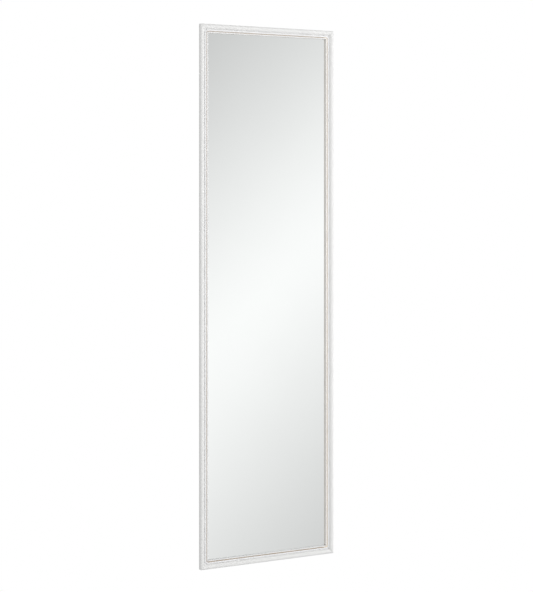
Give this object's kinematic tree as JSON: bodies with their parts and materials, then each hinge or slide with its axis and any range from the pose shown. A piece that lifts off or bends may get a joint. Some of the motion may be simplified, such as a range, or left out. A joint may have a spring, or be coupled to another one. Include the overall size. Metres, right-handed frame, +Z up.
{
  "type": "over the door mirror",
  "caption": "Tall narrow mirror in a slim mitred white frame with an antiqued inner bead, hung over a door by height-adjustable lined straps.",
  "frame": {"origin": "on the door's top edge at its near face, midway between the two straps: the straps' lined seats are at z = 0 and the bumpers' flat ends at y = 0", "axes": "+X to the right as the mirror is looked into, +Y from the mirror towards the door, +Z up"},
  "size_m": [0.3556, 0.0735, 1.27],
  "materials": {
    "white_lacquer": "white satin lacquer over a wood moulding, fine brush marks, faintly rubbed edges",
    "antiqued_lacquer": "white satin lacquer with a tan glaze rubbed unevenly into the groove",
    "silvered_glass": "clear float glass silvered on its back, neutral with a trace of green",
    "mirror_back_paint": "matt grey backing paint over the silver",
    "hardboard": "brown hardboard, screen-textured back",
    "spring_steel": "bare rolled steel, slightly dull",
    "zinc_plated_steel": "bright zinc plate",
    "white_coated_steel": "white powder coat, worn through at the edges that slide",
    "nickel_plated_brass": "nickel plate, knurled",
    "foam_lining": "closed-cell grey foam, matt",
    "bumper_rubber": "dark grey rubber, matt"
  },
  "bodies": {
    "frame": {"frame_top_rail": "white_lacquer", "frame_bottom_rail": "white_lacquer", "frame_left_stile": "white_lacquer", "frame_right_stile": "white_lacquer", "inner_bead": "antiqued_lacquer", "mirror_glass": "silvered_glass", "mirror_back_coat": "mirror_back_paint", "backing_board": "hardboard", "corner_v_nail_top_left": "spring_steel", "corner_v_nail_top_right": "spring_steel", "corner_v_nail_bottom_left": "spring_steel", "corner_v_nail_bottom_right": "spring_steel", "retaining_point_top_1": "spring_steel", "retaining_point_top_2": "spring_steel", "retaining_point_bottom_1": "spring_steel", "retaining_point_bottom_2": "spring_steel", "retaining_point_left_1": "spring_steel", "retaining_point_left_2": "spring_steel", "retaining_point_left_3": "spring_steel", "retaining_point_right_1": "spring_steel", "retaining_point_right_2": "spring_steel", "retaining_point_right_3": "spring_steel", "door_bumper_upper_left": "bumper_rubber", "door_bumper_upper_right": "bumper_rubber", "door_bumper_lower_left": "bumper_rubber", "door_bumper_lower_right": "bumper_rubber", "left_hook_keeper": "white_coated_steel", "left_keeper_screw_a": "zinc_plated_steel", "left_keeper_screw_b": "zinc_plated_steel", "right_hook_keeper": "white_coated_steel", "right_keeper_screw_a": "zinc_plated_steel", "right_keeper_screw_b": "zinc_plated_steel"},
    "left_hook": {"left_hook_strap": "white_coated_steel", "left_hook_pad": "foam_lining", "left_stop_rivet": "zinc_plated_steel"},
    "left_clamp": {"left_clamp_screw": "nickel_plated_brass"},
    "right_hook": {"right_hook_strap": "white_coated_steel", "right_hook_pad": "foam_lining", "right_stop_rivet": "zinc_plated_steel"},
    "right_clamp": {"right_clamp_screw": "nickel_plated_brass"}
  },
  "joints": [
    {"name": "left_hook_slide", "type": "slide", "parent": "frame", "child": "left_hook", "axis": [0, 0, 1], "range_m": [0, 0.075]},
    {"name": "left_clamp_turn", "type": "hinge", "parent": "frame", "child": "left_clamp", "pos_m": [-0.1, -0.00515, -0.0052], "axis": [0, 1, 0], "range_deg": [-150, 360]},
    {"name": "right_hook_slide", "type": "slide", "parent": "frame", "child": "right_hook", "axis": [0, 0, 1], "range_m": [0, 0.075]},
    {"name": "right_clamp_turn", "type": "hinge", "parent": "frame", "child": "right_clamp", "pos_m": [0.1, -0.00515, -0.0052], "axis": [0, 1, 0], "range_deg": [-150, 360]}
  ]
}
